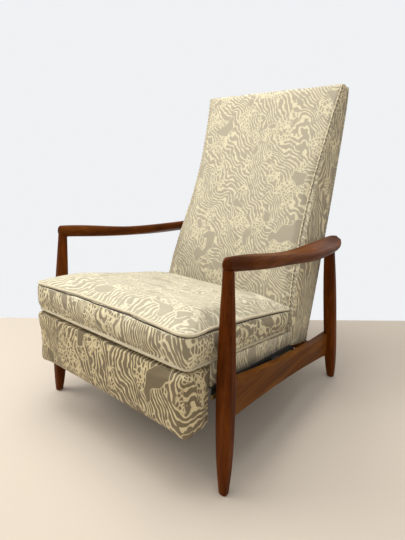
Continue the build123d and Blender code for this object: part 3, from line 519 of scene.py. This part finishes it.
def crease(piece, line, depth, width):
    """Draws a cover in along a seam."""
    tree = KDTree(len(line))
    for index, point in enumerate(line):
        tree.insert(point, index)
    tree.balance()
    moves = []
    for vertex in piece.data.vertices:
        distance = tree.find(vertex.co)[2]
        if distance < 3 * width:
            moves.append((vertex, vertex.normal * depth * math.exp(-(distance / width) ** 2)))
    for vertex, move in moves:
        vertex.co -= move


def split_faces(piece, material, test):
    """Gives the faces that pass the test a second material."""
    piece.data.materials.append(material)
    index = len(piece.data.materials) - 1
    for polygon in piece.data.polygons:
        if test(polygon.center, polygon.normal):
            polygon.material_index = index


def stitches(name, line, side, length, gap, radius, body):
    """Dark stitches that cross a seam at a slant, first one way and then the other."""
    points = even_line(line, False, gap)
    made = bmesh.new()
    for index, (start, stop) in enumerate(zip(points, points[1:])):
        run = (stop - start).normalized()
        lean = side * (0.35 if index % 2 else -0.35)
        aim = (run + lean).normalized()
        middle = (start + stop) / 2
        turn_to = aim.to_track_quat("Z", "Y").to_matrix().to_4x4()
        bmesh.ops.create_cone(made, cap_ends=True, segments=8, radius1=radius, radius2=radius, depth=length,
                              matrix=Matrix.Translation(middle) @ turn_to)
    mesh = bpy.data.meshes.new(name)
    made.to_mesh(mesh)
    made.free()
    piece = bpy.data.objects.new(name, mesh)
    bpy.context.scene.collection.objects.link(piece)
    mesh.materials.append(thread_and_shade_material)
    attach(piece, body)
    return piece


def cloth_sheet(name, low, high, body, material):
    """Flat sheet of cloth between two corners of a box."""
    made = bmesh.new()
    centre = (Vector(low) + Vector(high)) / 2
    size = Vector(high) - Vector(low)
    bmesh.ops.create_cube(made, size=1.0, matrix=Matrix.Translation(centre) @ Matrix.Diagonal((*size, 1)))
    mesh = bpy.data.meshes.new(name)
    made.to_mesh(mesh)
    made.free()
    piece = bpy.data.objects.new(name, mesh)
    bpy.context.scene.collection.objects.link(piece)
    mesh.materials.append(material)
    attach(piece, body)
    return piece


bpy.context.scene.frame_set(1)

# Seat cushion: the seams lie in two sloping planes
cushion_low, cushion_high = (Vector(corner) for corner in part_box("seat_cushion"))
SHIFT = -0.3369
BASE_FRONT = 0.314
BASE_SLOPE = math.tan(math.radians(8.96))
SEAM_FRONT = 0.393
SEAM_SLOPE = (0.393 - 0.3185) / 0.422


def base_height(y):
    return BASE_FRONT - (y - SHIFT) * BASE_SLOPE


def seam_height(y):
    return SEAM_FRONT - (y - SHIFT) * SEAM_SLOPE


def cushion_share(place, normal):
    """The cushion stays flat on the deck and swells most on its crown."""
    if normal.z < -0.7:
        return 0.1
    if normal.z > 0.5:
        return 1.0
    return 0.75


cushion = copy_of(["seat_cushion"], "cushion_cover")
remesh(cushion, VOXEL)
inflate(cushion, 14 * MM, cushion_share)
smooth(cushion)
centre_y = (cushion_low.y + cushion_high.y) / 2
across = Vector((1, 0, 0))
top_along = Vector((0, 1, -SEAM_SLOPE)).normalized()
low_along = Vector((0, 1, -BASE_SLOPE)).normalized()
top_seam = soften(ring(cushion, Vector((0, centre_y, seam_height(centre_y))), across, top_along, 720), True)
low_seam = soften(ring(cushion, Vector((0, centre_y, base_height(centre_y) + 3 * MM)), across, low_along, 720), True)
under_seam = [point - Vector((0, 0, SEAM_SHADOW)) for point in top_seam]
crease(cushion, under_seam, 4.5 * MM, 3.5 * MM)
# A dark cord in the crease under the top welt: painted shade of the seam's recess
shade_cord_middle = Vector((0, centre_y, seam_height(centre_y) - SEAM_SHADOW))
shade_cord_line = soften(ring(cushion, shade_cord_middle, across, top_along, 720), True)
# The cushion's crown takes the painted sheen copy of the cloth; below the top seam it takes the band copy
finish_soft(cushion, "seat", ["seat_cushion"], fabric_top_sheen)
split_faces(cushion, fabric_band,
            lambda place, normal: place.z < seam_height(place.y) - 1 * MM and normal.z < 0.6)
tube("cushion_top_welt", top_seam, WELT_RADIUS, True, "seat", fabric_welt)
tube("cushion_top_shade_cord", shade_cord_line, SHADE_CORD_RADIUS, True, "seat", thread_and_shade_material)
tube("cushion_low_welt", low_seam, WELT_RADIUS, True, "seat", fabric_welt)

# Footrest panel, wrapped over its board, with black cloth behind
panel_low, panel_high = (Vector(corner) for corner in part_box("footrest_board"))


def panel_share(place, normal):
    """The cover stays flat against the board's back."""
    return 0.0 if place.y > panel_high.y - 3 * MM else 1.0


panel = copy_of(["footrest_pad", "footrest_board"], "footrest_cover")
remesh(panel, VOXEL)
inflate(panel, 4 * MM, panel_share)
smooth(panel)
# The footrest cover: the panel cloth with painted shade
finish_soft(panel, "footrest", ["footrest_pad", "footrest_board"], fabric_panel_shade)
inset = Vector((14 * MM, 0, 14 * MM))
cloth_sheet("footrest_back_cloth", Vector((panel_low.x, panel_high.y, panel_low.z)) + inset,
            Vector((panel_high.x, panel_high.y + 1 * MM, panel_high.z)) - inset,
            "footrest", black_cloth)

# Deck under the cushion, its side bands, and the cloth over the seat's front rail
deck = copy_of(["seat_deck"], "deck_cover")
smooth(deck, 0)
# The deck under the cushion: the panel cloth with painted shade
finish_soft(deck, "seat", ["seat_deck"], fabric_panel_shade)
bands = copy_of(["left_deck_band", "right_deck_band"], "deck_band_cover")
smooth(bands, 0)
finish_soft(bands, "seat", ["left_deck_band", "right_deck_band"], fabric_side)
rail_low, rail_high = (Vector(corner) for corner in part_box("seat_front_rail"))
side_low, side_high = (Vector(corner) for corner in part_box("left_seat_rail"))
# The cloth over the front rail: the panel cloth with painted shade
cloth_sheet("seat_front_cloth", (-side_high.x, rail_low.y - 1.2 * MM, rail_low.z - 24 * MM),
            (side_high.x, rail_low.y - 0.2 * MM, rail_high.z + 2 * MM),
            "seat", fabric_panel_shade)

# Back: front pad, side bands and top in one cover, and the panel behind
back_nodes = ["back_cushion", "left_back_band", "right_back_band", "back_top_cap"]
back_low, back_high = (Vector(corner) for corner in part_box("back_cushion"))


def back_share(place, normal):
    """The cover swells to the front, and less at the sides; nothing swells backwards."""
    if normal.y > 0.35:
        return 0.0
    if normal.y < -0.5:
        return 1.0
    return 0.4


back = copy_of(back_nodes, "back_cover")
remesh(back, VOXEL)
inflate(back, 7 * MM, back_share)
smooth(back)
surface = surface_of(back)


def back_edge(side):
    """The outer front edge of the back, from its bottom to its top."""
    points = []
    steps = 110
    for index in range(steps + 1):
        z = back_low.z + 12 * MM + (back_high.z - back_low.z - 22 * MM) * index / steps
        flat_hit = surface.ray_cast(Vector((side * 0.18, -1.0, z)), Vector((0, 1, 0)))[0]
        side_hit = surface.ray_cast(Vector((side, flat_hit.y + 30 * MM, z)), Vector((-side, 0, 0)))[0]
        corner = Vector((side_hit.x, flat_hit.y, z))
        out = Vector((side, -1, 0)).normalized()
        hit = surface.ray_cast(corner + 0.1 * out, -out)[0]
        points.append(hit)
    return soften(even_line(points, False), False)


edge_lines = {"left": back_edge(1), "right": back_edge(-1)}
for line in edge_lines.values():
    crease(back, line, 1.8 * MM, 4.5 * MM)
finish_soft(back, "back", back_nodes, fabric_back)
split_faces(back, fabric_side, lambda place, normal: abs(normal.x) > 0.72)
for side_name, line in edge_lines.items():
    facing = 1 if side_name == "left" else -1
    tube(side_name + "_back_welt", line, 2.8 * MM, False, "back", fabric_welt)
    outward = Vector((facing, -1, 0)).normalized()
    lifted = [point + 2.5 * MM * outward for point in line]
    across_seam = Vector((facing, 1, 0)).normalized()
    stitches(side_name + "_back_stitches", lifted, across_seam, 9 * MM, 14 * MM, 1.1 * MM, "back")
rear = copy_of(["back_panel"], "back_rear_cover")
smooth(rear, 0)
finish_soft(rear, "back", ["back_panel"], fabric_back)

# Floor, and behind a straight line, where a wall would stand, a white backdrop
WHITE = (0.87, 0.885, 0.90, 1)
WALL_PLACE = Vector((-0.326, 0.479, 0))
WALL_TURN = math.radians(39.66)
FLOOR_REACH = 40.0
FAR_FLOOR = (0.775, 0.672, 0.546, 1)
FADE_START = 1.4
FADE_END = 4.5
along_wall = FLOOR_REACH * Vector((math.cos(WALL_TURN), math.sin(WALL_TURN), 0))
from_wall = FLOOR_REACH * Vector((math.sin(WALL_TURN), -math.cos(WALL_TURN), 0))


def stage_sheet(name, depth, material):
    """Level sheet on one side of the wall's line."""
    mesh = bpy.data.meshes.new(name)
    corners = (WALL_PLACE - along_wall, WALL_PLACE - along_wall + depth,
               WALL_PLACE + along_wall + depth, WALL_PLACE + along_wall)
    mesh.from_pydata(corners, [], [(0, 1, 2, 3)])
    mesh.materials.append(material)
    sheet = bpy.data.objects.new(name, mesh)
    bpy.context.scene.collection.objects.link(sheet)


floor_material, floor_tree, floor_shader = new_material("pale_floor")
floor_shader.inputs["Base Color"].default_value = (0.575, 0.50, 0.415, 1)
floor_shader.inputs["Roughness"].default_value = 0.9
far_place = floor_tree.nodes.new("ShaderNodeTexCoord")
far_distance = floor_tree.nodes.new("ShaderNodeVectorMath")
far_distance.operation = "LENGTH"
link(floor_tree, far_place.outputs["Object"], far_distance.inputs[0])
far_share = add(floor_tree, "ShaderNodeMapRange", From_Min=FADE_START, From_Max=FADE_END)
far_share.interpolation_type = "SMOOTHSTEP"
link(floor_tree, far_distance.outputs["Value"], far_share.inputs["Value"])
floor_path = floor_tree.nodes.new("ShaderNodeLightPath")
far_seen = math_node(floor_tree, "MULTIPLY", far_share.outputs["Result"], floor_path.outputs["Is Camera Ray"])
far_glow = add(floor_tree, "ShaderNodeEmission", Color=FAR_FLOOR, Strength=1.0)
floor_blend = floor_tree.nodes.new("ShaderNodeMixShader")
link(floor_tree, far_seen, floor_blend.inputs[0])
link(floor_tree, floor_shader.outputs[0], floor_blend.inputs[1])
link(floor_tree, far_glow.outputs[0], floor_blend.inputs[2])
floor_output = [node for node in floor_tree.nodes if node.bl_idname == "ShaderNodeOutputMaterial"][0]
link(floor_tree, floor_blend.outputs[0], floor_output.inputs[0])
stage_sheet("floor", from_wall, floor_material)
white_material, white_tree, white_shader = new_material("white_backdrop")
white_shader.inputs["Base Color"].default_value = grey(0.7)
white_shader.inputs["Roughness"].default_value = 1.0
glow = add(white_tree, "ShaderNodeEmission", Color=WHITE, Strength=1.0)
white_path = white_tree.nodes.new("ShaderNodeLightPath")
white_blend = white_tree.nodes.new("ShaderNodeMixShader")
link(white_tree, white_path.outputs["Is Camera Ray"], white_blend.inputs[0])
link(white_tree, white_shader.outputs[0], white_blend.inputs[1])
link(white_tree, glow.outputs[0], white_blend.inputs[2])
white_output = [node for node in white_tree.nodes if node.bl_idname == "ShaderNodeOutputMaterial"][0]
link(white_tree, white_blend.outputs[0], white_output.inputs[0])
stage_sheet("backdrop", -from_wall, white_material)

# World: plain grey light, white where the camera sees it
world = bpy.data.worlds.new("plain")
bpy.context.scene.world = world
world.use_nodes = True
tree = world.node_tree
tree.nodes.clear()
sky = add(tree, "ShaderNodeBackground", Color=(0.94, 0.95, 0.96, 1), Strength=0.5)
white = add(tree, "ShaderNodeBackground", Color=WHITE, Strength=1.0)
path = tree.nodes.new("ShaderNodeLightPath")
seen = math_node(tree, "MAXIMUM", path.outputs["Is Camera Ray"], path.outputs["Is Glossy Ray"])
blend = tree.nodes.new("ShaderNodeMixShader")
world_output = tree.nodes.new("ShaderNodeOutputWorld")
link(tree, seen, blend.inputs[0])
link(tree, sky.outputs[0], blend.inputs[1])
link(tree, white.outputs[0], blend.inputs[2])
link(tree, blend.outputs[0], world_output.inputs[0])


def area_light(name, place, target, size, power, colour):
    data = bpy.data.lights.new(name, "AREA")
    data.shape = "SQUARE"
    data.size = size
    data.energy = power
    data.color = colour
    lamp = bpy.data.objects.new(name, data)
    bpy.context.scene.collection.objects.link(lamp)
    lamp.location = place
    lamp.rotation_euler = (Vector(target) - Vector(place)).to_track_quat("-Z", "Y").to_euler()


middle = (0, 0, 0.45)
area_light("window", (-2.2, -1.6, 2.4), middle, 1.8, 60, (1.0, 0.99, 0.96))
area_light("fill", (2.6, -1.9, 1.7), middle, 2.4, 19, (1.0, 0.97, 0.92))
area_light("ceiling", (-0.2, -0.3, 2.8), middle, 1.8, 62, (1.0, 1.0, 0.98))

# Camera
right = Vector((math.cos(CAMERA_TURN), math.sin(CAMERA_TURN), 0))
ahead = Vector((-math.sin(CAMERA_TURN) * math.cos(CAMERA_DROP),
                math.cos(CAMERA_TURN) * math.cos(CAMERA_DROP), -math.sin(CAMERA_DROP)))
up = right.cross(ahead)
rolled_right = math.cos(CAMERA_ROLL) * right + math.sin(CAMERA_ROLL) * up
rolled_up = -math.sin(CAMERA_ROLL) * right + math.cos(CAMERA_ROLL) * up
camera_data = bpy.data.cameras.new("camera")
camera_data.lens = CAMERA_LENS
camera_data.sensor_width = SENSOR
camera = bpy.data.objects.new("camera", camera_data)
bpy.context.scene.collection.objects.link(camera)
turn = Matrix((rolled_right, rolled_up, -ahead)).transposed()
camera.matrix_world = Matrix.Translation(CAMERA_PLACE) @ turn.to_4x4()
bpy.context.scene.camera = camera
bpy.context.scene.view_settings.view_transform = "Standard"
